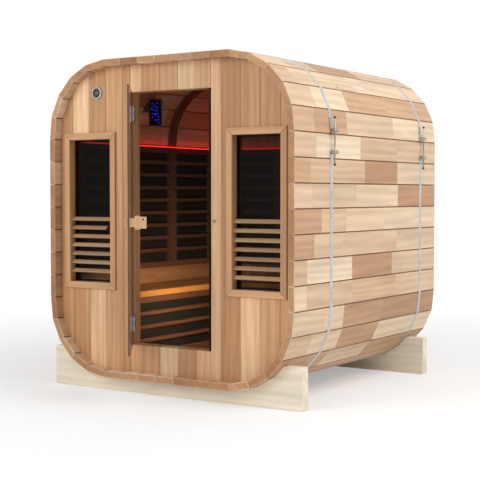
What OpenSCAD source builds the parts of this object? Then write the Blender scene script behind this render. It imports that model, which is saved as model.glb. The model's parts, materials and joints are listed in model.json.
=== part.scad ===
// Infrared sauna cabin: a squared barrel of cedar staves on two timber
// cradles, held by two steel hoops, with a swinging glass door, two louvred
// windows and infrared heater panels behind slats.
//
// X runs across the front, Y from the front to the back and Z up. The origin
// is on the ground under the middle of the front cradle.

/* [Body] */
// Overall width of the stave body
body_w = 1760; // [1500:10:2200]
// Overall height of the stave body
body_h = 1910; // [1600:10:2300]
// Length of the staves, front to back
body_d = 1850; // [1500:10:2400]
// Thickness of the staves
stave_t = 40; // [30:1:50]
// Width of one stave in the rounded corners
stave_w = 140; // [120:1:160]
// Clear height under the body
base_gap = 83; // [40:1:140]

/* [End walls] */
// Distance from the stave ends to the face of each end wall
wall_recess = 60; // [30:1:100]
// Thickness of the front wall
front_wall_t = 95; // [60:1:130]
// Thickness of the back wall
back_wall_t = 50; // [30:1:90]

/* [Door] */
// Width of the doorway
door_w = 584; // [500:1:700]
// Height of the doorway
door_h = 1506; // [1300:1:1600]
// Height of the doorway's sill above the underside of the body
door_sill = 204; // [140:1:260]
// Thickness of the glass door
door_glass_t = 8; // [6:1:12]
// How far the door stands open as modelled
door_open = 54; // [0:1:95]
// Height of the door handle above the sill
handle_height = 743; // [600:1:1000]

/* [Windows] */
// Width over the window casing
casing_w = 400; // [300:1:460]
// Height over the window casing
casing_h = 950; // [700:1:1050]
// Width of the casing strip
casing_strip = 40; // [25:1:60]
// How far the casing stands proud of the wall
casing_proud = 12; // [6:1:20]
// Distance from the middle of the front to the middle of a window
window_x = 601; // [540:1:640]
// Height of the casing above the underside of the body
window_sill = 527; // [450:1:600]
// Number of louvre blades in a window
louvres = 7; // [3:1:9]
// Distance from one louvre blade to the next
louvre_pitch = 53; // [45:1:60]

/* [Interior] */
// Depth of the benches
bench_d = 390; // [300:1:450]
// Height of the bench tops above the underside of the body
bench_height = 493; // [400:1:550]
// Height of the wall heaters, bottom rail to top rail
heater_h = 830; // [600:1:900]
// Distance from one heater slat to the next
slat_pitch = 86.3; // [70:0.1:110]

/* [Cradles and hoops] */
// Overall length of a cradle, across the body
cradle_l = 1790; // [1500:10:2300]
// Thickness of a cradle
cradle_t = 66; // [40:1:90]
// Height of a cradle at its ends
cradle_h = 240; // [180:1:300]
// Distance from the stave front ends to the front cradle
cradle_inset = 62; // [20:1:200]
// Distance from the front cradle to the rear one, middle to middle
cradle_spacing = 1580; // [1100:10:1900]
// Width of a steel hoop
hoop_w = 30; // [20:1:50]
// Thickness of a steel hoop
hoop_t = 1.5; // [1:0.5:3]
// Distance from the stave front ends to the middle of the front hoop
front_hoop_inset = 410; // [200:5:700]

/* [Hidden] */

$fn = 48;
fit = 0.3;          // clearance between pieces that are fitted together
seam = 0.6;         // gap between one stave and the next
reach = 4000;       // longer than any piece, for cutting shapes

cedar = [0.76, 0.60, 0.45];
pale_cedar = [0.87, 0.73, 0.56];
spruce = [0.89, 0.85, 0.76];
steel = [0.75, 0.77, 0.78];
dark_panel = [0.09, 0.09, 0.09];

// ---- Body outline -------------------------------------------------------
// The outline is a ring of straight staves. Each tilt is the turn of a
// stave's outer face from level, clockwise as seen from the front.
corner_staves = 5;
corner_lead = 11;
corner_step = 18.2;
corner_tilts = [for (i = [0:corner_staves - 1]) corner_lead + i * corner_step];

function total(list, i = 0) = i < len(list) ? list[i] + total(list, i + 1) : 0;
function turned(list, angle) = [for (v = list) v + angle];
function repeated(value, count) = [for (i = [1:count]) value];
function facing(tilts) = [for (i = [len(tilts) - 1:-1:0]) 90 - tilts[i]];

corner_run = stave_w * total([for (a = corner_tilts) cos(a)]);
corner_rise = stave_w * total([for (a = corner_tilts) sin(a)]);
flat_top = body_w - 2 * corner_run;
flat_side = body_h - 2 * corner_rise;
top_staves = ceil(flat_top / stave_w - 0.05);
side_staves = ceil(flat_side / stave_w - 0.05);
top_w = flat_top / top_staves;
side_w = flat_side / side_staves;

tilts = concat(
    repeated(0, top_staves), corner_tilts,
    repeated(90, side_staves), turned(facing(corner_tilts), 90),
    repeated(180, top_staves), turned(corner_tilts, 180),
    repeated(270, side_staves), turned(facing(corner_tilts), 270)
);
widths = concat(
    repeated(top_w, top_staves), repeated(stave_w, corner_staves),
    repeated(side_w, side_staves), repeated(stave_w, corner_staves),
    repeated(top_w, top_staves), repeated(stave_w, corner_staves),
    repeated(side_w, side_staves), repeated(stave_w, corner_staves)
);
stave_count = len(tilts);

body_top = base_gap + body_h;
joints = [
    for (i = 0, p = [-flat_top / 2, body_top]; i < stave_count;
         p = p + widths[i] * [cos(tilts[i]), -sin(tilts[i])], i = i + 1) p
];

function outward(i) = [sin(tilts[i]), cos(tilts[i])];
function before(i) = (i + stave_count - 1) % stave_count;
function after(i) = (i + 1) % stave_count;
function along(i) = [cos(tilts[i]), -sin(tilts[i])];

// A joint moved inwards by a depth, on the line where its two staves meet
function inner(i, depth) =
    let (a = outward(before(i)), b = outward(i))
    joints[i] - depth * (a + b) / (1 + a * b);

// The body's outline at a depth, with one point for each bend
function outline(depth) = [
    for (i = [0:stave_count - 1])
        if (tilts[i] != tilts[before(i)]) inner(i, depth)
];

// First stave of each run, clockwise from the left end of the roof
roof_right_start = top_staves;
right_start = roof_right_start + corner_staves;
base_right_start = right_start + side_staves;
base_start = base_right_start + corner_staves;
base_left_start = base_start + top_staves;
left_start = base_left_start + corner_staves;
roof_left_start = left_start + side_staves;

// ---- Places -------------------------------------------------------------
front_y = -cradle_inset - cradle_t / 2;
back_y = front_y + body_d;
front_face = front_y + wall_recess;
front_inner = front_face + front_wall_t;
back_face = back_y - wall_recess;
back_inner = back_face - back_wall_t;
inner_x = body_w / 2 - stave_t;
floor_z = base_gap + stave_t;

door_z0 = base_gap + door_sill;
door_z1 = door_z0 + door_h;
window_z0 = base_gap + window_sill;
window_z1 = window_z0 + casing_h;
opening_w = casing_w - 2 * casing_strip;
opening_z0 = window_z0 + casing_strip;
opening_z1 = window_z1 - casing_strip;
pane_t = 5;
pane_inset = 40;
pane_y = front_face + pane_inset;

bench_z = base_gap + bench_height;

// ---- Small helpers ------------------------------------------------------
module block(low, high) {
    translate(low) cube(high - low);
}

// A 2D outline in X and Z, given depth from y0 to y1
module across(y0, y1) {
    translate([0, y1, 0]) rotate([90, 0, 0]) linear_extrude(y1 - y0) children();
}

// ---- Staves -------------------------------------------------------------
module stave(i) {
    gap = seam / 2 * along(i);
    across(front_y, back_y)
        polygon([
            joints[i] + gap,
            joints[after(i)] - gap,
            inner(after(i), stave_t) - gap,
            inner(i, stave_t) + gap
        ]);
}

module stave_run(start, count) {
    color(cedar)
        for (i = [start:start + count - 1]) stave(i);
}

module roof_staves() { stave_run(0, top_staves); }
module roof_right_corner() { stave_run(roof_right_start, corner_staves); }
module right_side_staves() { stave_run(right_start, side_staves); }
module base_right_corner() { stave_run(base_right_start, corner_staves); }
module base_staves() { stave_run(base_start, top_staves); }
module base_left_corner() { stave_run(base_left_start, corner_staves); }
module left_side_staves() { stave_run(left_start, side_staves); }
module roof_left_corner() { stave_run(roof_left_start, corner_staves); }

// ---- End walls ----------------------------------------------------------
module wall_slab(y0, y1) {
    across(y0, y1) polygon(outline(stave_t + fit));
}

module front_wall_side(side) {
    color(pale_cedar)
        difference() {
            intersection() {
                wall_slab(front_face, front_inner);
                if (side < 0)
                    block([-reach, -reach, 0], [-door_w / 2, reach, reach]);
                else
                    block([door_w / 2, -reach, 0], [reach, reach, reach]);
            }
            block([side * window_x - opening_w / 2, -reach, opening_z0],
                  [side * window_x + opening_w / 2, reach, opening_z1]);
        }
}

module doorway_slab(z0, z1) {
    color(pale_cedar)
        intersection() {
            wall_slab(front_face, front_inner);
            block([-door_w / 2, -reach, z0], [door_w / 2, reach, z1]);
        }
}

module front_wall_left() { front_wall_side(-1); }
module front_wall_right() { front_wall_side(1); }
module front_wall_lintel() { doorway_slab(door_z1, reach); }
module front_wall_sill() { doorway_slab(0, door_z0); }
module back_wall() { color(pale_cedar) wall_slab(back_inner, back_face); }

// ---- Windows ------------------------------------------------------------
module window_casing(side) {
    x = side * window_x;
    color(cedar)
        difference() {
            block([x - casing_w / 2, front_face - casing_proud, window_z0],
                  [x + casing_w / 2, front_face, window_z1]);
            block([x - opening_w / 2, -reach, opening_z0],
                  [x + opening_w / 2, reach, opening_z1]);
        }
}

module window_glass(side) {
    x = side * window_x;
    color([0.25, 0.2, 0.18, 0.4])
        block([x - opening_w / 2 + fit, pane_y, opening_z0 + fit],
              [x + opening_w / 2 - fit, pane_y + pane_t, opening_z1 - fit]);
}

// A blade slopes down towards the outside
louvre_depth = 26;
louvre_t = 12;
louvre_tilt = 40;
louvre_z0 = opening_z0 + 68;
louvre_y = front_face + pane_inset / 2 - 2;
broken_blade = louvres - 2;    // counted from the bottom, in the left window
broken_length = 45;

module louvre_blade(x0, x1, z) {
    translate([x0, louvre_y, z]) rotate([louvre_tilt, 0, 0])
        translate([0, -louvre_depth / 2, -louvre_t / 2])
            cube([x1 - x0, louvre_depth, louvre_t]);
}

module window_louvres(side) {
    x0 = side * window_x - opening_w / 2 + fit;
    x1 = side * window_x + opening_w / 2 - fit;
    color(cedar)
        for (i = [0:louvres - 1]) {
            missing = side < 0 && i == broken_blade ? broken_length : 0;
            louvre_blade(x0, x1 - missing, louvre_z0 + i * louvre_pitch);
        }
}

module left_window_casing() { window_casing(-1); }
module right_window_casing() { window_casing(1); }
module left_window_glass() { window_glass(-1); }
module right_window_glass() { window_glass(1); }
module left_window_louvres() { window_louvres(-1); }
module right_window_louvres() { window_louvres(1); }

// ---- Door ---------------------------------------------------------------
// The door is drawn shut, with its hinge axis on the Z axis and the leaf
// along +X, and is then swung open about the axis.
hinge_from_jamb = 14;
hinge_depth = 6;
hinge_x = -door_w / 2 + hinge_from_jamb;
hinge_y = front_face + hinge_depth;
leaf_start = 4;
leaf_clear = 8;
leaf_end = door_w - hinge_from_jamb - leaf_clear;
leaf_z0 = door_z0 + 6;
leaf_z1 = door_z1 - 6;
hinge_inset = 130;             // from the ends of the doorway to the hinges
hinge_heights = [door_z0 + hinge_inset, door_z1 - hinge_inset];

pin_r = 4;
pin_clear = 0.08;
knuckle_r = 7;
clamp_h = 95;
clamp_reach = 50;
clamp_start = 10;
clamp_plate_t = 5;
middle_knuckle_h = 44;
knuckle_gap = 1;
notch_depth = 16;
notch_h = clamp_h + 8;

module swung_open() {
    translate([hinge_x, hinge_y, 0]) rotate([0, 0, -door_open]) children();
}

module door_glass() {
    color([0.3, 0.28, 0.25, 0.4])
        swung_open()
            difference() {
                block([leaf_start, -door_glass_t / 2, leaf_z0],
                      [leaf_end, door_glass_t / 2, leaf_z1]);
                for (z = hinge_heights)
                    block([0, -reach, z - notch_h / 2],
                          [notch_depth, reach, z + notch_h / 2]);
            }
}

// Two plates that grip the glass, a web through its notch and the middle
// knuckle that turns on the pin
module hinge_clamp() {
    half = door_glass_t / 2 + fit + clamp_plate_t;
    difference() {
        union() {
            block([clamp_start, -half, -clamp_h / 2],
                  [clamp_reach, half, clamp_h / 2]);
            block([0, -knuckle_r + 2, -middle_knuckle_h / 2],
                  [clamp_start + 1, knuckle_r - 2, middle_knuckle_h / 2]);
            translate([0, 0, -middle_knuckle_h / 2])
                cylinder(r = knuckle_r, h = middle_knuckle_h);
        }
        block([notch_depth - fit, -door_glass_t / 2 - fit, -clamp_h],
              [reach, door_glass_t / 2 + fit, clamp_h]);
        translate([0, 0, -clamp_h])
            cylinder(r = pin_r + pin_clear, h = 2 * clamp_h);
    }
}

module door_hinge_clamps() {
    color(steel)
        swung_open()
            for (z = hinge_heights) translate([0, 0, z]) hinge_clamp();
}

// A plate on the doorway's side, with the pin and the two end knuckles
module jamb_hinge_leaf() {
    plate_t = 4;
    plate_depth = 34;
    end_h = (clamp_h - middle_knuckle_h) / 2 - knuckle_gap;
    block([-hinge_from_jamb, -hinge_depth + 2, -clamp_h / 2],
          [-hinge_from_jamb + plate_t, plate_depth, clamp_h / 2]);
    for (z = [-clamp_h / 2, clamp_h / 2 - end_h]) {
        translate([0, 0, z]) cylinder(r = knuckle_r, h = end_h);
        block([-hinge_from_jamb, -knuckle_r + 3, z], [0, knuckle_r - 3, z + end_h]);
    }
    translate([0, 0, -clamp_h / 2]) cylinder(r = pin_r, h = clamp_h);
}

module jamb_hinge_leaves() {
    color(steel)
        for (z = hinge_heights)
            translate([hinge_x, hinge_y, z]) jamb_hinge_leaf();
}

handle_z = door_z0 + handle_height;
handle_x = leaf_end - 60;
handle_block_h = 49;
handle_block_w = 36;
outer_handle_t = 20;
stem_t = 29;
grip_t = 30;
grip_h = 75;
end_block_t = 34;
end_block_h = 65;
handle_hole_r = 5;

module handle_part(y0, y1, h) {
    block([handle_x - handle_block_w / 2, y0, handle_z - h / 2],
          [handle_x + handle_block_w / 2, y1, handle_z + h / 2]);
}

module door_handle_outer() {
    color(pale_cedar)
        swung_open()
            handle_part(-door_glass_t / 2 - outer_handle_t, -door_glass_t / 2,
                        handle_block_h);
}

module door_handle_inner() {
    y0 = door_glass_t / 2;
    y1 = y0 + stem_t;
    y2 = y1 + grip_t;
    color(pale_cedar)
        swung_open()
            difference() {
                union() {
                    handle_part(y0, y1, handle_block_h);
                    handle_part(y1, y2, grip_h);
                    handle_part(y2, y2 + end_block_t, end_block_h);
                }
                translate([handle_x - handle_block_w,
                           y2 + end_block_t / 2,
                           handle_z + end_block_h / 2 - 3 * handle_hole_r])
                    rotate([0, 90, 0])
                        cylinder(r = handle_hole_r, h = 2 * handle_block_w);
            }
}

seal_w = 24;
seal_t = 5;
seal_clear = 6;
module door_seal() {
    y0 = hinge_y + door_glass_t / 2 + seal_clear;
    color([0.25, 0.22, 0.2])
        block([door_w / 2 - seal_w, y0, door_z0], [door_w / 2, y0 + seal_t, door_z1]);
}

catch_r = 11.5;
catch_t = 6;
catch_from_jamb = 28;
module door_catch() {
    color(steel)
        translate([door_w / 2 + catch_from_jamb, front_face, handle_z + 5])
            rotate([90, 0, 0]) cylinder(r = catch_r, h = catch_t);
}

// ---- Vent ---------------------------------------------------------------
vent_x = -545;
vent_below_top = 193;
vent_r = 37;
module round_vent() {
    color(steel)
        translate([vent_x, front_face, body_top - vent_below_top])
            rotate([90, 0, 0])
                difference() {
                    cylinder(r = vent_r, h = 9);
                    translate([0, 0, 4])
                        difference() {
                            cylinder(r = vent_r - 8, h = 9);
                            cylinder(r = 12, h = 9);
                        }
                }
}

// ---- Cradles ------------------------------------------------------------
module cradle(y) {
    color(spruce)
        difference() {
            block([-cradle_l / 2, y - cradle_t / 2, 0],
                  [cradle_l / 2, y + cradle_t / 2, cradle_h]);
            across(-reach, reach) polygon(outline(-fit));
        }
}

module front_cradle() { cradle(0); }
module rear_cradle() { cradle(cradle_spacing); }

// ---- Hoops and tensioners -----------------------------------------------
rear_hoop_gap = 12;            // from the rear hoop to the rear cradle
front_hoop_y = front_y + front_hoop_inset;
rear_hoop_y = cradle_spacing - cradle_t / 2 - rear_hoop_gap - hoop_w / 2;
hoop_split_z0 = body_top - 582;
hoop_split_z1 = body_top - 370;
rod_r = 4;
rod_out = 22;                  // from the staves to the middle of the rod
rod_overrun = 77;
barrel_r = 12;
barrel_l = 46;
lug_t = 4;

module hoop(y) {
    color(steel)
        difference() {
            across(y - hoop_w / 2, y + hoop_w / 2)
                difference() {
                    polygon(outline(-hoop_t));
                    polygon(outline(0));
                }
            block([0, -reach, hoop_split_z0], [reach, reach, hoop_split_z1]);
        }
}

// How far the rounded corner has drawn in from the flat side at a height
function drawn_in(z) =
    let (flat_end = body_top - corner_rise, tilt = tilts[right_start - 1])
    max(0, z - flat_end) * cos(tilt) / sin(tilt);

// Each end of a hoop turns out round a barrel, and a threaded rod passes
// through both barrels and draws them together
module tensioner(y) {
    low_barrel = hoop_split_z0 + 15;
    high_barrel = hoop_split_z1 - 73;
    top_x = -drawn_in(hoop_split_z1);
    strap_end = high_barrel - barrel_r;
    color(steel)
        translate([body_w / 2, y, 0]) {
            block([0, -hoop_w / 2, hoop_split_z0],
                  [lug_t, hoop_w / 2, low_barrel + barrel_r]);
            across(-hoop_w / 2, hoop_w / 2)
                polygon([
                    [top_x, hoop_split_z1], [top_x + lug_t, hoop_split_z1],
                    [lug_t, strap_end], [0, strap_end]
                ]);
            for (z = [low_barrel, high_barrel]) {
                translate([rod_out, -barrel_l / 2, z]) rotate([-90, 0, 0])
                    cylinder(r = barrel_r, h = barrel_l);
                block([lug_t / 2, -hoop_w / 2, z - barrel_r / 2],
                      [rod_out, hoop_w / 2, z + barrel_r / 2]);
            }
            translate([rod_out, 0, low_barrel - rod_overrun])
                cylinder(r = rod_r, h = high_barrel - low_barrel + 2 * rod_overrun);
        }
}

module front_hoop() { hoop(front_hoop_y); }
module rear_hoop() { hoop(rear_hoop_y); }
module front_hoop_tensioner() { tensioner(front_hoop_y); }
module rear_hoop_tensioner() { tensioner(rear_hoop_y); }

// ---- Heaters ------------------------------------------------------------
// A heater is a black panel against the wall, and a wooden frame of stiles,
// rails and slats that stands over it.
panel_t = 8;
frame_t = 40;
slat_t = 18;
slat_h = 24;
stile_w = 69;
rail_h = 40;
heater_top = base_gap + 1429;
heater_low = heater_top - heater_h;

// Frame drawn in X and Z, front at y = 0 and back at y = frame_t
module heater_frame(x0, x1, z0, z1, bays) {
    step = (x1 - x0 - stile_w) / bays;
    slats = floor((z1 - z0 - rail_h - slat_h) / slat_pitch);
    for (i = [0:bays])
        block([x0 + i * step, 0, z0], [x0 + i * step + stile_w, frame_t, z1]);
    block([x0, 0, z0], [x1, frame_t, z0 + rail_h]);
    block([x0, 0, z1 - rail_h], [x1, frame_t, z1]);
    for (i = [1:slats])
        block([x0, 0, z1 - rail_h / 2 - i * slat_pitch - slat_h / 2],
              [x1, slat_t, z1 - rail_h / 2 - i * slat_pitch + slat_h / 2]);
}

module heater_panel(x0, x1, z0, z1, bays) {
    step = (x1 - x0 - stile_w) / bays;
    for (i = [0:bays - 1])
        block([x0 + i * step + stile_w + fit, frame_t - panel_t, z0 + rail_h + fit],
              [x0 + (i + 1) * step - fit, frame_t, z1 - rail_h - fit]);
}

// Places a frame that is drawn facing the front so that it stands against
// the left wall and faces right, with its X running along the cabin's Y
module on_left(x) {
    translate([x, 0, 0]) rotate([0, 0, 90]) children();
}

module on_back(y) {
    translate([0, y, 0]) children();
}

left_heater_x = -inner_x + frame_t;
back_heater_y = back_inner - frame_t;
left_heater_y0 = front_inner + 20;
left_heater_y1 = back_heater_y - fit;
back_heater_x = inner_x - 20;

module wall_heater_frames() {
    color(cedar) {
        on_left(left_heater_x)
            heater_frame(left_heater_y0, left_heater_y1, heater_low, heater_top, 3);
        on_back(back_heater_y)
            heater_frame(-back_heater_x, back_heater_x, heater_low, heater_top, 3);
    }
}

module wall_heater_panels() {
    color(dark_panel) {
        on_left(left_heater_x)
            heater_panel(left_heater_y0, left_heater_y1, heater_low, heater_top, 3);
        on_back(back_heater_y)
            heater_panel(-back_heater_x, back_heater_x, heater_low, heater_top, 3);
    }
}

// Light strips that lie on top of the heater frames, along the wall
led_w = 12;
led_t = 6;
module led_strips() {
    color("red") {
        block([-inner_x + fit, left_heater_y0, heater_top],
              [-inner_x + fit + led_w, left_heater_y1, heater_top + led_t]);
        block([-back_heater_x, back_inner - led_w, heater_top],
              [back_heater_x, back_inner, heater_top + led_t]);
    }
}

// Ribs that follow the inside of the roof from wall to wall
rib_w = 75;
rib_t = 20;
rib_y = front_inner + 1045;
module roof_ribs() {
    color(cedar)
        intersection() {
            across(rib_y - rib_w / 2, rib_y + rib_w / 2)
                difference() {
                    polygon(outline(stave_t + fit));
                    polygon(outline(stave_t + rib_t));
                }
            block([-reach, -reach, heater_top + led_t + 4], [reach, reach, reach]);
        }
}

// ---- Benches ------------------------------------------------------------
bench_t = 38;
right_bench_drop = 16;
right_bench_x = -50;
right_bench_l = 500;
left_bench_x = -inner_x + bench_d;
back_bench_y = back_inner - bench_d;

module left_bench_top() {
    color(pale_cedar)
        block([-inner_x + 12, front_inner + fit, bench_z - bench_t],
              [left_bench_x, back_inner - fit, bench_z]);
}

module back_bench_top() {
    color(pale_cedar)
        block([left_bench_x + fit, back_bench_y, bench_z - bench_t],
              [inner_x - 12, back_inner - fit, bench_z]);
}

module right_bench_top() {
    z1 = bench_z - right_bench_drop;
    color(pale_cedar)
        block([right_bench_x, back_bench_y - right_bench_l, z1 - bench_t],
              [inner_x - 12, back_bench_y - fit, z1]);
}

// The bench fronts stand on the floor and carry the bench tops
bench_front_z0 = floor_z + fit;
bench_front_z1 = bench_z - bench_t;
bench_setback = 12;
left_front_x = left_bench_x - bench_setback;
floor_half = flat_top / 2 - 6;     // where the flat of the floor ends
back_front_y = back_bench_y + bench_setback;

// The left frame's foot is shaped to the curve where the floor turns up
module bench_heater_frames() {
    color(cedar) {
        intersection() {
            on_left(left_front_x)
                heater_frame(front_inner + fit, back_front_y - fit,
                             bench_front_z0, bench_front_z1, 1);
            wall_slab(-reach, reach);
        }
        on_back(back_front_y)
            heater_frame(left_bench_x, floor_half, bench_front_z0, bench_front_z1, 2);
    }
}

module bench_heater_panels() {
    color(dark_panel) {
        on_left(left_front_x)
            heater_panel(front_inner + fit, back_front_y - fit,
                         bench_front_z0, bench_front_z1, 1);
        on_back(back_front_y)
            heater_panel(left_bench_x, floor_half, bench_front_z0, bench_front_z1, 2);
    }
}

module right_bench_base() {
    z1 = bench_z - right_bench_drop - bench_t;
    y0 = back_bench_y - right_bench_l + bench_setback;
    color(cedar) {
        block([right_bench_x + bench_setback, y0, bench_front_z0],
              [floor_half, y0 + 25, z1]);
        block([right_bench_x + bench_setback, y0 + 25 + 1, bench_front_z0],
              [right_bench_x + bench_setback + 25, back_front_y - 1, z1]);
    }
}

// ---- Control panel ------------------------------------------------------
panel_x = -662;
panel_w = 105;
panel_h = 177;
panel_depth = 20;
panel_top = base_gap + 1735;
panel_y = front_inner + 635;
bracket_w = 60;
bracket_t = 18;

module control_panel() {
    color([0.2, 0.25, 0.3])
        block([panel_x - panel_w / 2, panel_y, panel_top - panel_h],
              [panel_x + panel_w / 2, panel_y + panel_depth, panel_top]);
}

// A small board behind the panel, shaped to the curve of the wall
module control_panel_bracket() {
    y0 = panel_y + panel_depth;
    color(cedar)
        intersection() {
            wall_slab(y0, y0 + bracket_t);
            block([-reach, -reach, panel_top - 20 - bracket_w],
                  [panel_x, reach, panel_top - 20]);
        }
}

roof_staves();
base_staves();
left_side_staves();
right_side_staves();
roof_left_corner();
roof_right_corner();
base_left_corner();
base_right_corner();
front_wall_left();
front_wall_right();
front_wall_lintel();
front_wall_sill();
back_wall();
left_window_casing();
right_window_casing();
left_window_glass();
right_window_glass();
left_window_louvres();
right_window_louvres();
door_glass();
door_handle_outer();
door_handle_inner();
door_hinge_clamps();
jamb_hinge_leaves();
door_seal();
door_catch();
round_vent();
front_cradle();
rear_cradle();
front_hoop();
rear_hoop();
front_hoop_tensioner();
rear_hoop_tensioner();
wall_heater_frames();
wall_heater_panels();
led_strips();
roof_ribs();
left_bench_top();
back_bench_top();
right_bench_top();
bench_heater_frames();
bench_heater_panels();
right_bench_base();
control_panel();
control_panel_bracket();
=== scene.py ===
"""Looks of the infrared sauna cabin: boards, staves, fittings, glass, lights and camera.

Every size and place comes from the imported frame. Lengths are in metres.
"""
import json
import math
import random

import bmesh
import bpy
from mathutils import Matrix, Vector


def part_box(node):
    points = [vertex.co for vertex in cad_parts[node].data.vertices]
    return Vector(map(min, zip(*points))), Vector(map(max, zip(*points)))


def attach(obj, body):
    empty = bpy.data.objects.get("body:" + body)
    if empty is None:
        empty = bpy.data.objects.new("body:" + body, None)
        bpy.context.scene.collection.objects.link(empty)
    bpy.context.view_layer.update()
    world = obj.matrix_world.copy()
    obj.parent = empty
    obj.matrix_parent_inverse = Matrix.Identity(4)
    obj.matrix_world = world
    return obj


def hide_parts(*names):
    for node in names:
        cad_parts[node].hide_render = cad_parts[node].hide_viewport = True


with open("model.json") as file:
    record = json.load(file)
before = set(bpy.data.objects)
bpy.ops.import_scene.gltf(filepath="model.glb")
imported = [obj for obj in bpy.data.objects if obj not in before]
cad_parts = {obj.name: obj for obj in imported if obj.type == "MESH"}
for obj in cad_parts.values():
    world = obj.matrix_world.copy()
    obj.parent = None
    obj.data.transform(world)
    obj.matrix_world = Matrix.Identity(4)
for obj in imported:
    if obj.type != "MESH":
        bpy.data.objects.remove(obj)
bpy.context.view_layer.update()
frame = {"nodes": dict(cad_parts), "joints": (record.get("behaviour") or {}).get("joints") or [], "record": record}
nodes = frame["nodes"]

X = Vector((1, 0, 0))
Y = Vector((0, 1, 0))
Z = Vector((0, 0, 1))

# ---- Places taken from the frame -------------------------------------------


def span(node):
    low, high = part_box(node)
    return Vector(low), Vector(high)


wall_low, wall_high = span("front_wall_lintel")
sill_low, sill_high = span("front_wall_sill")
back_low, back_high = span("back_wall")
body_low, body_high = span("base_staves")[0], span("roof_staves")[1]
front_y = body_low.y
wall_y = wall_low.y
door_left, door_right = wall_low.x, wall_high.x
door_bottom, door_top = sill_high.z, wall_low.z
joint = frame["joints"][0]
record_joint = frame["record"]["behaviour"]["joints"][0]
hinge = Vector(record_joint["pos_m"])
DOOR_OPEN = math.radians(record_joint["range_deg"][1])
leaf_dir = Vector((math.cos(DOOR_OPEN), -math.sin(DOOR_OPEN), 0))
leaf_normal = Vector((-leaf_dir.y, leaf_dir.x, 0))


# ---- Node helpers ------------------------------------------------------------


def rgb(code):
    """A colour written as sRGB hex, as linear values."""
    parts = [int(code[i:i + 2], 16) / 255 for i in (1, 3, 5)]
    return [c / 12.92 if c <= 0.04045 else ((c + 0.055) / 1.055) ** 2.4 for c in parts] + [1.0]


class Nodes:
    """A short way to build a material's node tree."""

    def __init__(self, name):
        self.material = bpy.data.materials.new(name)
        self.material.use_nodes = True
        self.tree = self.material.node_tree
        self.shader = self.tree.nodes["Principled BSDF"]

    def add(self, kind, inputs=None, **settings):
        node = self.tree.nodes.new(kind)
        for key, value in settings.items():
            setattr(node, key, value)
        for key, value in (inputs or {}).items():
            self.put(node.inputs[key], value)
        return node

    def put(self, socket, value):
        if isinstance(value, bpy.types.NodeSocket):
            self.tree.links.new(value, socket)
        else:
            socket.default_value = value

    def ramp(self, factor, stops):
        node = self.add("ShaderNodeValToRGB", {"Fac": factor})
        elements = node.color_ramp.elements
        while len(elements) < len(stops):
            elements.new(0.5)
        for element, (place, colour) in zip(elements, stops):
            element.position = place
            element.color = colour
        return node.outputs["Color"]

    def grey(self, factor, low, high, start=0.0, end=1.0):
        node = self.add("ShaderNodeMapRange", {"Value": factor, "From Min": start, "From Max": end,
                                               "To Min": low, "To Max": high})
        return node.outputs["Result"]

    def mix(self, blend, factor, a, b):
        node = self.add("ShaderNodeMix", data_type="RGBA", blend_type=blend)
        self.put(node.inputs["Factor"], factor)
        self.put(node.inputs[6], a)
        self.put(node.inputs[7], b)
        return node.outputs[2]

    def noise(self, vector, scale, detail=4.0, roughness=0.55, distortion=0.0):
        return self.add("ShaderNodeTexNoise", {"Vector": vector, "Scale": scale, "Detail": detail,
                                               "Roughness": roughness, "Distortion": distortion})

    def stretched(self, vector, scale, offset=(0, 0, 0)):
        return self.add("ShaderNodeMapping", {"Vector": vector, "Scale": scale,
                                              "Location": offset}).outputs["Vector"]

    def bump(self, height, strength, distance):
        node = self.add("ShaderNodeBump", {"Height": height, "Strength": strength,
                                           "Distance": distance})
        self.put(self.shader.inputs["Normal"], node.outputs["Normal"])


# ---- Materials ---------------------------------------------------------------


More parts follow.
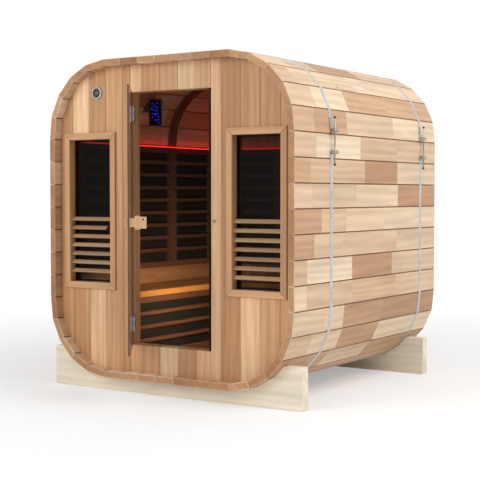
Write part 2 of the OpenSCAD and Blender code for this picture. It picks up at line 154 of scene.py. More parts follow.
def wood(name, dark, middle, pale, roughness=0.6, knots=0.0, grain=1.0):
    """Sawn wood. The 'grain' UV map runs along the fibres, and 'board' holds each board's tone."""
    n = Nodes(name)
    uv = n.add("ShaderNodeUVMap", uv_map="grain").outputs["UV"]
    board = n.add("ShaderNodeAttribute", attribute_name="board")
    split = n.add("ShaderNodeSeparateColor", {"Color": board.outputs["Color"]})
    tone, warmth = split.outputs["Red"], split.outputs["Green"]
    colour = n.ramp(tone, [(0.0, rgb(dark)), (0.5, rgb(middle)), (1.0, rgb(pale))])
    rosy = n.mix("MULTIPLY", 1.0, colour, (1.0, 0.94, 0.90, 1))
    colour = n.mix("MIX", warmth, colour, rosy)
    drift = n.noise(n.stretched(uv, (1.1, 9, 1)), 1.0, 4.0, 0.6)
    flow = n.add("ShaderNodeTexWave", {"Vector": n.stretched(uv, (0.5, 4.5, 1)), "Scale": 1.3,
                                       "Distortion": 16.0, "Detail": 3.0, "Detail Scale": 0.5},
                 wave_type="BANDS", bands_direction="Y")
    fibre = n.noise(n.stretched(uv, (3.0, 140, 1)), 1.0, 5.0, 0.65)
    shade = n.grey(flow.outputs["Fac"], 1.0 - 0.13 * grain, 1.03)
    colour = n.mix("MULTIPLY", 1.0, colour, shade)
    shade = n.grey(fibre.outputs["Fac"], 1.0 - 0.15 * grain, 1.0 + 0.10 * grain, 0.25, 0.75)
    colour = n.mix("MULTIPLY", 1.0, colour, shade)
    shade = n.grey(drift.outputs["Fac"], 0.82, 1.14, 0.3, 0.7)
    colour = n.mix("MULTIPLY", 1.0, colour, shade)
    if knots:
        cell = n.add("ShaderNodeTexVoronoi", {"Vector": n.stretched(uv, (2.2, 5.5, 1)), "Scale": 1.0,
                                              "Randomness": 1.0})
        near = n.grey(cell.outputs["Distance"], 1.0, 0.0, 0.015, 0.075)
        pick = n.add("ShaderNodeSeparateColor", {"Color": cell.outputs["Color"]}).outputs["Red"]
        chosen = n.add("ShaderNodeMath", {0: pick, 1: knots}, operation="LESS_THAN").outputs[0]
        spot = n.add("ShaderNodeMath", {0: near, 1: chosen}, operation="MULTIPLY").outputs[0]
        colour = n.mix("MIX", spot, colour, rgb("#7a4a2c"))
    n.put(n.shader.inputs["Base Color"], colour)
    n.put(n.shader.inputs["Roughness"], n.grey(fibre.outputs["Fac"], roughness - 0.08, roughness + 0.1))
    n.bump(fibre.outputs["Fac"], 0.25, 0.0015)
    return n.material


def metal(name, colour, roughness, scratch=0.12, tint="#8a8f90"):
    n = Nodes(name)
    at = n.add("ShaderNodeTexCoord").outputs["Object"]
    streak = n.noise(n.stretched(at, (30, 400, 30)), 1.0, 3.0)
    patch = n.noise(at, 14.0, 3.0)
    worn = n.mix("MIX", n.grey(patch.outputs["Fac"], 0.0, 0.5, 0.4, 0.8), rgb(colour), rgb(tint))
    n.put(n.shader.inputs["Base Color"], worn)
    n.put(n.shader.inputs["Roughness"], n.grey(streak.outputs["Fac"], roughness - scratch / 2,
                                               roughness + scratch))
    n.shader.inputs["Metallic"].default_value = 1.0
    n.bump(streak.outputs["Fac"], 0.08, 0.0005)
    return n.material


def plain(name, colour, roughness=0.5, other=None, scale=40.0, alpha=1.0, glow=0.0, gloss=0.5):
    """A moulded or filmed surface with a slight mottle."""
    n = Nodes(name)
    at = n.add("ShaderNodeTexCoord").outputs["Object"]
    mottle = n.noise(at, scale, 4.0)
    base = n.mix("MIX", n.grey(mottle.outputs["Fac"], 0.0, 0.6, 0.35, 0.75), rgb(colour), rgb(other or colour))
    n.put(n.shader.inputs["Base Color"], base)
    n.put(n.shader.inputs["Roughness"], n.grey(mottle.outputs["Fac"], roughness - 0.05, roughness + 0.08))
    n.shader.inputs["Specular IOR Level"].default_value = gloss
    n.shader.inputs["Alpha"].default_value = alpha
    if glow:
        n.shader.inputs["Emission Color"].default_value = rgb(colour)
        n.shader.inputs["Emission Strength"].default_value = glow
    n.bump(mottle.outputs["Fac"], 0.05, 0.0005)
    return n.material


STAVE = wood("stave_wood", "#a27654", "#c69f7a", "#e6d0b2", 0.55, knots=0.10, grain=0.8)
STAVE_END = wood("stave_end_wood", "#8e6240", "#a97c54", "#c0956c", 0.7, grain=0.4)
# Darker wood for the narrow bevel faces along the stave seams: painted shade in the seam grooves.
SEAM_SHADE = wood("stave_seam_shade_wood", "#6e4a2e", "#80583a", "#94694a", 0.75, grain=0.4)
BOARD = wood("board_wood", "#a26c42", "#c8976a", "#edc79c", 0.55, knots=0.12)
TRIM = wood("trim_wood", "#a5764c", "#c4966a", "#d8b086", 0.5, grain=0.8)
LOUVRE = wood("louvre_wood", "#8f6f4c", "#a88660", "#c0a078", 0.5, grain=0.6)
HANDLE = wood("handle_wood", "#c2966c", "#d4ac82", "#e4c49c", 0.45, grain=0.6)
SPRUCE = wood("spruce_wood", "#d8c8aa", "#e4d8c0", "#eee6d4", 0.7, knots=0.22, grain=0.45)
# Interior wood painted darker than the bench wood: painted shade of the dimly lit inside.
INSIDE_SHADED = wood("inside_shaded_wood", "#543a2c", "#684a3a", "#80604c", 0.6, grain=0.8)
BENCH = wood("bench_wood", "#9a6a3c", "#bd8648", "#d9a868", 0.5, grain=0.8)
STEEL = metal("hoop_steel", "#c9d0d1", 0.38)
BRIGHT = metal("bright_steel", "#b0b4b3", 0.25, tint="#7c7b77")
ROD = metal("rod_steel", "#74766f", 0.4, tint="#50524c")
VENT_DARK = metal("vent_dark", "#5c5a55", 0.4, tint="#3c3a36")
CHROME = metal("hinge_chrome", "#cfd2d3", 0.16, 0.06)
BLACK = plain("heater_film", "#242628", 0.45, "#303234", 18.0)
RUBBER = plain("dark_rubber", "#1b1714", 0.6, "#2a231e")
SEAL = plain("seal_strip", "#120e0b", 0.4, "#1c1612", alpha=0.9, gloss=0.1)
PANE = plain("tinted_glass", "#0a0808", 0.06, "#0e0b0a", 3.0, alpha=0.5, gloss=0.08)
LEAF = plain("door_pane", "#3d3020", 0.06, "#463826", 3.0, alpha=0.42, gloss=0.12)
LEAF_EDGE = plain("glass_edge", "#3a3428", 0.2, "#565040", 60.0, alpha=0.92)
LED = plain("led_light", "#ff2418", 0.5, "#ff3020", 90.0, glow=2.2)
SCREEN = plain("panel_screen", "#0d1216", 0.18, "#11181e", 30.0)
BEZEL = plain("panel_bezel", "#2e424e", 0.35, "#344a56", 30.0)
CASE = plain("panel_case", "#a59c8a", 0.5, "#b0a794", 30.0)
ICON = plain("panel_icon", "#2230ff", 0.4, "#3048ff", 300.0, glow=0.9)
# Near-black colour put where there is only shade: painted shade in the vent hole and the seam gaps.
GAP_SHADE = plain("gap_shade", "#1d1511", 0.9, "#2a1e17")


# ---- Mesh helpers ------------------------------------------------------------


def make(name, bm, materials, body="cabin", replaces=(), smooth=False):
    """Turns a bmesh into a piece that rides on a body."""
    mesh = bpy.data.meshes.new(name)
    bmesh.ops.recalc_face_normals(bm, faces=bm.faces)
    bm.to_mesh(mesh)
    bm.free()
    for material in materials:
        mesh.materials.append(material)
    piece = bpy.data.objects.new(name, mesh)
    bpy.context.scene.collection.objects.link(piece)
    if smooth:
        mesh.shade_smooth()
    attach(piece, body)
    if replaces:
        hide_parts(*replaces)
    return piece


def node_mesh(node):
    """The CAD node's mesh, welded, with flat faces merged."""
    bm = bmesh.new()
    bm.from_mesh(nodes[node].data)
    bmesh.ops.remove_doubles(bm, verts=bm.verts, dist=1e-5)
    bmesh.ops.dissolve_limit(bm, angle_limit=math.radians(0.5), verts=bm.verts, edges=bm.edges)
    return bm


def islands(bm):
    """Groups of linked faces."""
    seen = set()
    groups = []
    for face in bm.faces:
        if face in seen:
            continue
        stack, group = [face], []
        seen.add(face)
        while stack:
            current = stack.pop()
            group.append(current)
            for edge in current.edges:
                for other in edge.link_faces:
                    if other not in seen:
                        seen.add(other)
                        stack.append(other)
        groups.append(group)
    return groups


def in_order(groups):
    """Groups of faces by the box round each one, which doesn't depend on the order of the faces."""
    def box_of(group):
        corners = [v.co for f in group for v in f.verts]
        return [round(pick(c[i] for c in corners), 4) for pick in (min, max) for i in range(3)]
    return sorted(groups, key=box_of)


def round_edges(bm, width, segments=1, keep=None):
    """Bevels the sharp edges, or those that keep() picks."""
    edges = [e for e in bm.edges if len(e.link_faces) == 2 and e.calc_face_angle(0) > math.radians(25)]
    if keep:
        edges = [e for e in edges if keep(e)]
    if edges:
        bmesh.ops.bevel(bm, geom=edges, offset=width, segments=segments, affect="EDGES",
                        clamp_overlap=True, profile=0.5)


def grain_faces(bm, faces, grain, tone, warmth, seed):
    """Writes the grain UVs and the board's tone on faces that belong to one length of wood."""
    uv = bm.loops.layers.uv.get("grain") or bm.loops.layers.uv.new("grain")
    board = bm.loops.layers.float_color.get("board") or bm.loops.layers.float_color.new("board")
    for face in faces:
        across = face.normal.cross(grain)
        if across.length < 0.3:
            across = face.normal.orthogonal()
            run = across.cross(face.normal) * 0.25
        else:
            run = grain
        for loop in face.loops:
            place = loop.vert.co
            loop[uv].uv = (place.dot(run) + seed * 7.31, place.dot(across) + seed * 3.17)
            loop[board] = (tone, warmth, seed, 1.0)


def lay_boards(bm, grain, rng, tones=(0.2, 0.9), cuts=0, choose=None):
    """Gives each separate board its own tone, or a tone for each length between its joints."""
    bm.normal_update()
    for group in in_order(islands(bm)):
        centre = sum((f.calc_center_median() for f in group), Vector()) / len(group)
        places = [f.calc_center_median().dot(grain) for f in group]
        low, high = min(places), max(places)
        stops = sorted(low + (high - low) * (k + rng.uniform(0.15, 0.85)) / (cuts + 1) for k in range(cuts))
        lengths = [(rng.uniform(*tones), rng.random() ** 2, rng.random() * 9) for _ in range(cuts + 2)]
        if choose:
            picked = choose(centre)
            if picked is not None:
                lengths = [(picked, lengths[0][1], lengths[0][2])] * (cuts + 2)
        if not cuts:
            grain_faces(bm, group, grain, *lengths[0])
            continue
        for place in stops:
            geometry = group + list({e for f in group for e in f.edges}) + list({v for f in group for v in f.verts})
            cut = bmesh.ops.bisect_plane(bm, geom=geometry, dist=1e-6, plane_co=grain * place, plane_no=grain)
            group = [f for f in cut["geom"] if isinstance(f, bmesh.types.BMFace)]
        bm.normal_update()
        for face in group:
            place = face.calc_center_median().dot(grain)
            index = sum(place > stop for stop in stops)
            grain_faces(bm, [face], grain, *lengths[index])


def split_at(bm, axis, places):
    """Cuts a solid into separate closed boards at planes across an axis."""
    pieces = bmesh.new()
    ends = [-10.0] + sorted(places) + [10.0]
    for low, high in zip(ends, ends[1:]):
        part = bm.copy()
        for place, normal in ((low, axis), (high, -axis)):
            geometry = part.faces[:] + part.edges[:] + part.verts[:]
            cut = bmesh.ops.bisect_plane(part, geom=geometry, dist=1e-6, plane_co=axis * place,
                                         plane_no=normal, clear_inner=True)
            rim = [e for e in cut["geom_cut"] if isinstance(e, bmesh.types.BMEdge)]
            if rim:
                bmesh.ops.holes_fill(part, edges=rim)
        if part.faces:
            mesh = bpy.data.meshes.new("board")
            part.to_mesh(mesh)
            pieces.from_mesh(mesh)
            bpy.data.meshes.remove(mesh)
        part.free()
    bm.free()
    return pieces


def solid(bm, corners, push):
    """Adds a closed prism: an outline and how far it is pushed."""
    near = [bm.verts.new(c) for c in corners]
    far = [bm.verts.new(Vector(c) + push) for c in corners]
    faces = [bm.faces.new(near), bm.faces.new(far[::-1])]
    for i in range(len(near)):
        j = (i + 1) % len(near)
        faces.append(bm.faces.new((near[j], near[i], far[i], far[j])))
    return faces


def box_corners(low, high):
    return [Vector((low.x, low.y, low.z)), Vector((high.x, low.y, low.z)),
            Vector((high.x, low.y, high.z)), Vector((low.x, low.y, high.z))]


def slab(bm, low, high):
    return solid(bm, box_corners(Vector(low), Vector(high)), Vector((0, high[1] - low[1], 0)))


def turned(bm, place, axis, profile, steps=24):
    """A solid of revolution: profile pairs are (distance along the axis, radius)."""
    side = axis.orthogonal().normalized()
    other = axis.cross(side)
    rings = []
    for distance, radius in profile:
        ring = []
        for k in range(steps):
            angle = 2 * math.pi * k / steps
            ring.append(bm.verts.new(place + axis * distance
                                     + (side * math.cos(angle) + other * math.sin(angle)) * radius))
        rings.append(ring)
    for a, b in zip(rings, rings[1:]):
        for k in range(steps):
            m = (k + 1) % steps
            bm.faces.new((a[k], a[m], b[m], b[k]))
    bm.faces.new(rings[0][::-1])
    bm.faces.new(rings[-1])


def screw_head(bm, place, axis, radius=0.004, height=0.002):
    turned(bm, place, axis, [(-0.001, radius), (height * 0.5, radius), (height, radius * 0.6)], 14)


# ---- Staves ------------------------------------------------------------------

rng = random.Random(11)
SEAM_CHAMFER = 0.0035
STAVE_NODES = ["roof_staves", "roof_right_corner", "right_side_staves", "base_right_corner",
               "base_staves", "base_left_corner", "left_side_staves", "roof_left_corner"]


def build_staves():
    for node in STAVE_NODES:
        bm = node_mesh(node)
        round_edges(bm, SEAM_CHAMFER)
        lay_boards(bm, Y, rng, (0.25, 1.0), cuts=3)
        # End faces get the end-grain wood; the narrow bevel faces along the seams get the darker wood as painted
        # shade in the seam grooves.
        for face in bm.faces:
            width = 2 * face.calc_area() / max(face.calc_perimeter(), 1e-6)
            if abs(face.normal.y) > 0.9:
                face.material_index = 1
            elif width < 2 * SEAM_CHAMFER and abs(face.normal.y) < 0.1:
                face.material_index = 2
        make(node + "_boards", bm, [STAVE, STAVE_END, SEAM_SHADE], replaces=[node])


# ---- End walls ---------------------------------------------------------------

BOARD_W = 0.131
FIRST_LEFT = -0.349
FIRST_RIGHT = 0.361
FIRST_DOOR = -0.205
GROOVE = 0.004
# Tones of the front boards, by column from the left, below and above the windows
FRONT_TONES = [(0.45, 0.42), (0.35, 0.97), (0.75, 0.42), (0.5, 0.5), (0.4, 0.5),
               (0.5, 0.78), (0.38, 0.5), (0.92, 0.62), (0.45, 0.86), (0.72, 0.55),
               (0.78, 0.62), (0.42, 0.30), (0.88, 0.42), (0.55, 0.35), (0.5, 0.4)]


def board_seams():
    left = [FIRST_LEFT - k * BOARD_W for k in range(4)]
    middle = [FIRST_DOOR + k * BOARD_W for k in range(4)]
    right = [FIRST_RIGHT + k * BOARD_W for k in range(4)]
    return sorted(left + middle + right + [door_left, door_right])


def front_tone(centre):
    column = sum(centre.x > seam for seam in board_seams())
    return FRONT_TONES[column][0 if centre.z < (door_bottom + door_top) / 2 else 1]


def vertical_seam(y):
    def keep(edge):
        a, b = (v.co for v in edge.verts)
        return abs(a.x - b.x) < 1e-4 and abs(a.y - b.y) < 1e-4 and abs(a.y - y) < 1e-4
    return keep


def build_walls():
    for node in ("front_wall_left", "front_wall_right", "front_wall_lintel", "front_wall_sill"):
        low, high = span(node)
        inside = [seam for seam in board_seams() if low.x + 0.005 < seam < high.x - 0.005]
        bm = split_at(node_mesh(node), X, inside)
        round_edges(bm, GROOVE, keep=vertical_seam(wall_y))
        round_edges(bm, GROOVE * 0.7, keep=vertical_seam(wall_high.y))
        lay_boards(bm, Z, rng, choose=front_tone)
        make(node + "_boards", bm, [BOARD], replaces=[node])
    seams = [-0.79 + k * BOARD_W for k in range(13)]
    bm = split_at(node_mesh("back_wall"), X, seams)
    for y in (back_low.y, back_high.y):
        round_edges(bm, GROOVE, keep=vertical_seam(y))
    lay_boards(bm, Z, rng, (0.25, 0.95))
    make("back_wall_boards", bm, [BOARD], replaces=["back_wall"])


# ---- Windows -----------------------------------------------------------------


def build_casing(side):
    """Four mitred strips, with eased edges."""
    node = side + "_window_casing"
    low, high = span(node)
    pane_low, pane_high = span(side + "_window_glass")
    strip = pane_low.x - low.x
    outer = [(low.x, low.z), (high.x, low.z), (high.x, high.z), (low.x, high.z)]
    inner = [(low.x + strip, low.z + strip), (high.x - strip, low.z + strip),
             (high.x - strip, high.z - strip), (low.x + strip, high.z - strip)]
    whole = bmesh.new()
    for k, (a, b) in enumerate(((0, 1), (1, 2), (2, 3), (3, 0))):
        bm = bmesh.new()
        points = [outer[a], outer[b], inner[b], inner[a]]
        centre = Vector((sum(p[0] for p in points) / 4, 0, sum(p[1] for p in points) / 4))
        points = [Vector((p[0], low.y, p[1])) for p in points]
        points = [p + (Vector((centre.x, p.y, centre.z)) - p).normalized() * 0.0004 for p in points]
        solid(bm, points, Vector((0, high.y - low.y, 0)))
        bmesh.ops.recalc_face_normals(bm, faces=bm.faces)
        round_edges(bm, 0.003, 2, keep=lambda e: all(v.co.y < low.y + 1e-5 for v in e.verts))
        bm.normal_update()
        grain_faces(bm, bm.faces, X if k % 2 == 0 else Z, (0.55, 0.35, 0.5, 0.6)[k], 0.2, k + (side == "left") * 5)
        mesh = bpy.data.meshes.new("strip")
        bm.to_mesh(mesh)
        whole.from_mesh(mesh)
        bm.free()
    make(node + "_mitred", whole, [TRIM], replaces=[node])


def build_window(side):
    build_casing(side)
    node = side + "_window_louvres"
    bm = node_mesh(node)
    round_edges(bm, 0.0025, 2)
    lay_boards(bm, X, rng, (0.35, 0.8))
    make(node + "_eased", bm, [LOUVRE], replaces=[node])
    # Beads that hold the pane, behind it
    low, high = span(side + "_window_glass")
    bead = 0.012
    bm = bmesh.new()
    y0, y1 = high.y + 0.0004, high.y + bead
    slab(bm, (low.x, y0, low.z), (high.x, y1, low.z + bead))
    slab(bm, (low.x, y0, high.z - bead), (high.x, y1, high.z))
    slab(bm, (low.x, y0, low.z + bead), (low.x + bead, y1, high.z - bead))
    slab(bm, (high.x - bead, y0, low.z + bead), (high.x, y1, high.z - bead))
    lay_boards(bm, Z, rng, (0.2, 0.4))
    make(side + "_window_beads", bm, [INSIDE_SHADED])
    nodes[side + "_window_glass"].data.materials.clear()
    nodes[side + "_window_glass"].data.materials.append(PANE)


# ---- Door --------------------------------------------------------------------


def build_door():
    bm = node_mesh("door_glass")
    round_edges(bm, 0.0008)
    bm.normal_update()
    for face in bm.faces:
        face.material_index = 0 if abs(face.normal.dot(leaf_normal)) > 0.95 else 1
    make("door_pane_polished", bm, [LEAF, LEAF_EDGE], "door", ["door_glass"])
    for node in ("door_handle_outer", "door_handle_inner"):
        bm = node_mesh(node)
        round_edges(bm, 0.003, 2)
        lay_boards(bm, Z, rng, (0.4, 0.7))
        make(node + "_eased", bm, [HANDLE], "door", [node])
    bm = node_mesh("door_hinge_clamps")
    round_edges(bm, 0.0012)
    make("door_hinge_clamps_eased", bm, [CHROME], "door", ["door_hinge_clamps"])
    bm = node_mesh("jamb_hinge_leaves")
    round_edges(bm, 0.0008)
    make("jamb_hinge_leaves_eased", bm, [CHROME], "cabin", ["jamb_hinge_leaves"])
    low, high = span("door_hinge_clamps")
    half = 0.0475
    screws = bmesh.new()
    for middle in (low.z + half, high.z - half):
        for lift in (-0.026, 0.026):
            for side in (-1, 1):
                place = hinge + leaf_dir * 0.030 + leaf_normal * side * 0.0093
                screw_head(screws, Vector((place.x, place.y, middle + lift)), leaf_normal * side, 0.006, 0.004)
    make("clamp_screws", screws, [CHROME], "door")


# ---- Small fittings ----------------------------------------------------------


def build_vent():
    low, high = span("round_vent")
    centre = (low + high) / 2
    radius = (high.x - low.x) / 2
    face = Vector((centre.x, low.y, centre.z))
    bm = bmesh.new()
    steps = 40
    ring_profile = [(high.y, radius), (low.y + 0.003, radius), (low.y, radius - 0.003),
                    (low.y, radius * 0.80), (low.y + 0.004, radius * 0.76), (high.y, radius * 0.76)]
    rings = []
    for y, r in ring_profile:
        rings.append([bm.verts.new((centre.x + r * math.cos(2 * math.pi * k / steps), y,
                                    centre.z + r * math.sin(2 * math.pi * k / steps))) for k in range(steps)])
    for a, b in zip(rings, rings[1:] + rings[:1]):
        for k in range(steps):
            m = (k + 1) % steps
            bm.faces.new((a[k], a[m], b[m], b[k]))
    ring_faces = set(bm.faces)
    for blade in range(8):
        angle = 2 * math.pi * blade / 8 + 0.2
        out = Vector((math.cos(angle), 0, math.sin(angle)))
        side = Vector((-out.z, 0, out.x))
        inner_r, outer_r, wide = radius * 0.30, radius * 0.74, radius * 0.13
        points = [face + out * inner_r - side * wide * 0.5, face + out * outer_r - side * wide,
                  face + out * outer_r + side * wide, face + out * inner_r + side * wide * 0.5]
        solid(bm, [p + Y * 0.003 for p in points], Vector((0, 0.003, 0)))
    turned(bm, face + Y * 0.007, -Y, [(0, radius * 0.36), (0.005, radius * 0.36), (0.0065, radius * 0.26)], 28)
    for vent_face in bm.faces:
        vent_face.material_index = 0 if vent_face in ring_faces else 1
    make("vent_rose", bm, [BRIGHT, VENT_DARK], replaces=["round_vent"])
    # A dark disc behind the rose: painted shade in the vent hole.
    bm = bmesh.new()
    turned(bm, Vector((centre.x, high.y, centre.z)), -Y, [(0, radius * 0.755), (0.0015, radius * 0.755)], 40)
    make("vent_shadow", bm, [GAP_SHADE])


def build_tensioner(side):
    node = side + "_hoop_tensioner"
    bm = node_mesh(node)
    round_edges(bm, 0.001)
    make(node + "_eased", bm, [BRIGHT], replaces=[node])
    low, high = span(node)
    middle_y = (low.y + high.y) / 2
    rod_x = high.x - 0.012
    tips = bmesh.new()
    for z, way in ((low.z, -1), (high.z, 1)):
        turned(tips, Vector((rod_x, middle_y, z - way * 0.012)), Z * way,
               [(0, 0.0065), (0.009, 0.0065), (0.012, 0.004)], 16)
    make(side + "_rod_tips", tips, [RUBBER])
    thread = bmesh.new()
    turns = int((high.z - low.z - 0.03) / 0.004)
    for k in range(turns):
        turned(thread, Vector((rod_x, middle_y, low.z + 0.015 + k * 0.004)), Z,
               [(0, 0.0041), (0.001, 0.0047), (0.002, 0.0041)], 10)
    make(side + "_rod_thread", thread, [ROD])


def build_seam_gaps():
    """Dark plugs where a hoop crosses each seam of the rounded corners and sides: painted shade in the seam gaps.
    """
    bm = bmesh.new()
    for node in ("right_side_staves", "roof_right_corner", "base_right_corner",
                 "left_side_staves", "roof_left_corner", "base_left_corner"):
        source = node_mesh(node)
        corners = {(round(v.co.x, 4), round(v.co.z, 4)) for v in source.verts}
        source.free()
        centre = Vector((0, 0, (body_low.z + body_high.z) / 2))
        points = sorted(corners, key=lambda p: (round((Vector((p[0], 0, p[1])) - centre).length, 4), p))
        outer = points[len(points) // 2:]
        for hoop in ("front_hoop", "rear_hoop"):
            low, high = span(hoop)
            for x, z in outer:
                out = Vector((x, 0, z - centre.z)).normalized()
                place = Vector((x, low.y - 0.006, z)) - out * 0.006
                turned(bm, place, out, [(0, 0.0045), (0.0045, 0.0045), (0.0055, 0.003)], 10)
    make("seam_shade_plugs", bm, [GAP_SHADE])


def build_fittings():
    build_vent()
    for side in ("front", "rear"):
        build_tensioner(side)
        nodes[side + "_hoop"].data.materials.clear()
        nodes[side + "_hoop"].data.materials.append(STEEL)
    build_seam_gaps()
    bm = node_mesh("door_catch")
    round_edges(bm, 0.0015, 2)
    make("door_catch_eased", bm, [CHROME], replaces=["door_catch"])
    bm = node_mesh("door_seal")
    round_edges(bm, 0.001)
    make("door_seal_eased", bm, [SEAL], replaces=["door_seal"])
    for node in ("front_cradle", "rear_cradle"):
        bm = node_mesh(node)
        round_edges(bm, 0.004, 2)
        lay_boards(bm, X, rng, (0.4, 0.7))
        make(node + "_timber", bm, [SPRUCE], replaces=[node])


# ---- Interior ----------------------------------------------------------------


def build_interior():
    # Heater frames, ribs and the panel bracket take the darker interior wood, which carries painted shade.
    for node in ("wall_heater_frames", "bench_heater_frames", "roof_ribs", "control_panel_bracket"):
        bm = node_mesh(node)
        bm.normal_update()
        for group in in_order(islands(bm)):
            size = [max(v.co[i] for f in group for v in f.verts) - min(v.co[i] for f in group for v in f.verts)
                    for i in range(3)]
            grain_faces(bm, group, Y if size[1] > size[0] else X, 0.5, 0.3, rng.random() * 9)
        make(node + "_wood", bm, [INSIDE_SHADED], replaces=[node])
    for node in ("wall_heater_panels", "bench_heater_panels"):
        nodes[node].data.materials.clear()
        nodes[node].data.materials.append(BLACK)
    nodes["led_strips"].data.materials.clear()
    nodes["led_strips"].data.materials.append(LED)
    for node, axis, grain, count in (("left_bench_top", X, Y, 4), ("back_bench_top", Y, X, 4),
                                     ("right_bench_top", Y, X, 5)):
        low, high = span(node)
        start, end = low.dot(axis), high.dot(axis)
        seams = [start + (end - start) * k / count for k in range(1, count)]
        bm = split_at(node_mesh(node), axis, seams)
        round_edges(bm, 0.003)
        lay_boards(bm, grain, rng, (0.3, 0.8))
        make(node + "_boards", bm, [BENCH], replaces=[node])
    bm = node_mesh("right_bench_base")
    lay_boards(bm, X, rng, (0.3, 0.6))
    make("right_bench_base_boards", bm, [BENCH], replaces=["right_bench_base"])


def build_control_panel():
    low, high = span("control_panel")
    wide, tall = high.x - low.x, high.z - low.z
    bm = node_mesh("control_panel")
    round_edges(bm, 0.004, 2)
    make("panel_case", bm, [CASE], replaces=["control_panel"])
    bm = bmesh.new()
    slab(bm, (low.x + 0.001, low.y - 0.0012, low.z + 0.001), (high.x - 0.001, low.y + 0.003, high.z - 0.001))
    round_edges(bm, 0.001)
    make("panel_bezel", bm, [BEZEL])
    edge = 0.008
    bm = bmesh.new()
    slab(bm, (low.x + edge, low.y - 0.0020, low.z + edge), (high.x - edge, low.y, high.z - edge))
    make("panel_screen", bm, [SCREEN])
    bm = bmesh.new()
    y = low.y - 0.0028
    # Plain round, square and bar marks, in rows
    marks = [(0.25, 0.84, "bar"), (0.68, 0.86, "disc"), (0.66, 0.70, "bar"), (0.24, 0.66, "disc"),
             (0.42, 0.60, "square"), (0.64, 0.58, "square"), (0.28, 0.46, "bar"), (0.52, 0.44, "ring"),
             (0.72, 0.46, "disc"), (0.30, 0.34, "square"), (0.54, 0.22, "disc"), (0.76, 0.24, "square"),
             (0.76, 0.12, "bar"), (0.46, 0.76, "square"), (0.78, 0.36, "square")]
    for u, v, kind in marks:
        centre = Vector((low.x + wide * u, y, low.z + tall * v))
        if kind == "bar":
            slab(bm, (centre.x - 0.008, y, centre.z - 0.002), (centre.x + 0.008, y + 0.0012, centre.z + 0.002))
        elif kind == "square":
            slab(bm, (centre.x - 0.004, y, centre.z - 0.004), (centre.x + 0.004, y + 0.0012, centre.z + 0.004))
        else:
            radius = 0.005 if kind == "disc" else 0.007
            turned(bm, centre + Y * 0.0012, -Y, [(0, radius), (0.0012, radius)], 18)
    make("panel_marks", bm, [ICON])


# ---- Camera, floor and lights ------------------------------------------------

VIEW_AZIMUTH = 33.23
VIEW_PITCH = 2.28
CAMERA_FROM_FRONT = Vector((4.0275, -5.3389, 1.1878))
LENS = 86.4


def build_camera():
    data = bpy.data.cameras.new("camera")
    data.lens = LENS
    data.sensor_width = 36.0
    data.clip_end = 100
    camera = bpy.data.objects.new("camera", data)
    camera.location = CAMERA_FROM_FRONT + Vector((0, front_y, 0))
    camera.rotation_euler = (math.radians(90 - VIEW_PITCH), 0, math.radians(VIEW_AZIMUTH))
    bpy.context.scene.collection.objects.link(camera)
    bpy.context.scene.camera = camera


def area_light(name, place, target, size, energy, colour=(1, 1, 1), size_y=None):
    data = bpy.data.lights.new(name, "AREA")
    data.shape = "RECTANGLE"
    data.size = size
    data.size_y = size_y or size
    data.energy = energy
    data.color = colour
    lamp = bpy.data.objects.new(name, data)
    lamp.location = place
    lamp.rotation_euler = (Vector(target) - Vector(place)).to_track_quat("-Z", "Y").to_euler()
    bpy.context.scene.collection.objects.link(lamp)
    return lamp


def build_floor():
    bm = bmesh.new()
    reach = 9.0
    centre = Vector((0, (body_low.y + body_high.y) / 2, 0))
    bm.faces.new([bm.verts.new((centre.x + a * reach, centre.y + b * reach, -0.0005))
                  for a, b in ((-1, -1), (1, -1), (1, 1), (-1, 1))])
    mesh = bpy.data.meshes.new("floor")
    bm.to_mesh(mesh)
    bm.free()
    floor = bpy.data.objects.new("floor", mesh)
    bpy.context.scene.collection.objects.link(floor)
    n = Nodes("floor_white")
    n.shader.inputs["Base Color"].default_value = (0.93, 0.93, 0.93, 1)
    n.shader.inputs["Roughness"].default_value = 0.9
    at = n.add("ShaderNodeTexCoord").outputs["Object"]
    distance = n.add("ShaderNodeVectorMath", {0: at, 1: centre}, operation="DISTANCE").outputs["Value"]
    fade = n.grey(distance, 0.35, 1.0, 1.5, 4.5)
    white = n.add("ShaderNodeEmission", {"Color": (1, 1, 1, 1), "Strength": 1.0})
    blend = n.add("ShaderNodeMixShader", {"Fac": fade, 1: n.shader.outputs[0], 2: white.outputs[0]})
    path = n.add("ShaderNodeLightPath")
    seen = n.add("ShaderNodeMath", {0: path.outputs["Is Camera Ray"], 1: path.outputs["Is Glossy Ray"]},
                 operation="MAXIMUM").outputs[0]
    seen = n.add("ShaderNodeMath", {0: seen, 1: path.outputs["Is Transmission Ray"]},
                 operation="MAXIMUM").outputs[0]
    final = n.add("ShaderNodeMixShader", {"Fac": seen, 1: n.shader.outputs[0], 2: blend.outputs[0]})
    n.put(n.tree.nodes["Material Output"].inputs["Surface"], final.outputs[0])
    mesh.materials.append(n.material)


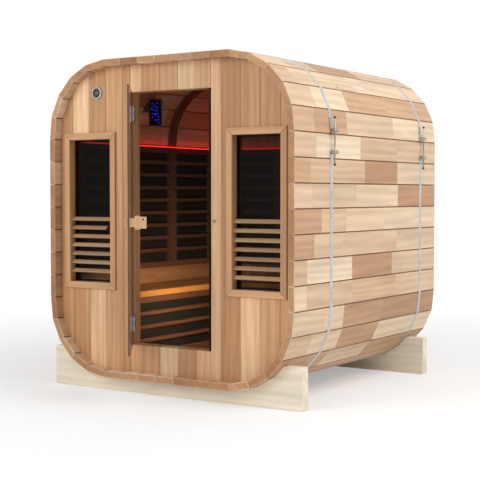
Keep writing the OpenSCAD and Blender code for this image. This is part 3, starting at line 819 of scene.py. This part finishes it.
def build_world():
    world = bpy.data.worlds.new("studio")
    bpy.context.scene.world = world
    world.use_nodes = True
    tree = world.node_tree
    tree.nodes.clear()
    path = tree.nodes.new("ShaderNodeLightPath")
    lit = tree.nodes.new("ShaderNodeBackground")
    lit.inputs["Strength"].default_value = 0.62
    seen = tree.nodes.new("ShaderNodeBackground")
    seen.inputs["Color"].default_value = (1, 1, 1, 1)
    lit.inputs["Color"].default_value = (1, 1, 1, 1)
    both = tree.nodes.new("ShaderNodeMath")
    both.operation = "MAXIMUM"
    clear = tree.nodes.new("ShaderNodeMath")
    clear.operation = "MAXIMUM"
    mix = tree.nodes.new("ShaderNodeMixShader")
    out = tree.nodes.new("ShaderNodeOutputWorld")
    tree.links.new(path.outputs["Is Camera Ray"], both.inputs[0])
    tree.links.new(path.outputs["Is Glossy Ray"], both.inputs[1])
    tree.links.new(both.outputs[0], clear.inputs[0])
    tree.links.new(path.outputs["Is Transmission Ray"], clear.inputs[1])
    tree.links.new(clear.outputs[0], mix.inputs[0])
    tree.links.new(lit.outputs[0], mix.inputs[1])
    tree.links.new(seen.outputs[0], mix.inputs[2])
    tree.links.new(mix.outputs[0], out.inputs[0])


LED_POWER = 0.15
LED_LAMP_W = 0.02


def build_lights():
    area_light("key", (4.6, 0.2, 5.2), (0.6, 0.8, 1.0), 3.5, 200)
    area_light("fill", (-2.5, -5.5, 3.6), (0, 0, 1.0), 3.5, 150)
    inside_fill = area_light("inside_fill", (0.2, wall_high.y + 0.24, door_top - 0.12),
                             (-0.6, back_low.y, 0.4), 0.24, 0.8, (1.0, 0.93, 0.92))
    bench_glow = area_light("bench_glow", (0.22, wall_high.y + 0.2, 0.62), (-0.5, 0.75, 0.42), 0.24, 2.8,
                            (1.0, 0.66, 0.36))
    for lamp in (inside_fill, bench_glow):
        lamp.visible_camera = False
        lamp.data.spread = math.radians(95)
    led_low, led_high = span("led_strips")
    deep = led_high.y - led_low.y
    wide = led_high.x - led_low.x
    lift = led_high.z + 0.012
    middle_x, middle_y = (led_low.x + led_high.x) / 2, (led_low.y + led_high.y) / 2
    for name, x, y, size_x, size_y in (("led_left", led_low.x + 0.02, middle_y, LED_LAMP_W, deep),
                                       ("led_back", middle_x, led_high.y - 0.02, wide, LED_LAMP_W)):
        lamp = area_light(name, (x, y, lift), (x, y, lift + 1), size_x, LED_POWER, (1, 0.04, 0.04), size_y)
        lamp.rotation_euler = (math.pi, 0, 0)
        lamp.visible_camera = False



build_camera()
build_staves()
build_walls()
build_window("left")
build_window("right")
build_door()
build_fittings()
build_interior()
build_control_panel()
build_floor()
build_world()
build_lights()
bpy.context.scene.view_settings.view_transform = "Standard"
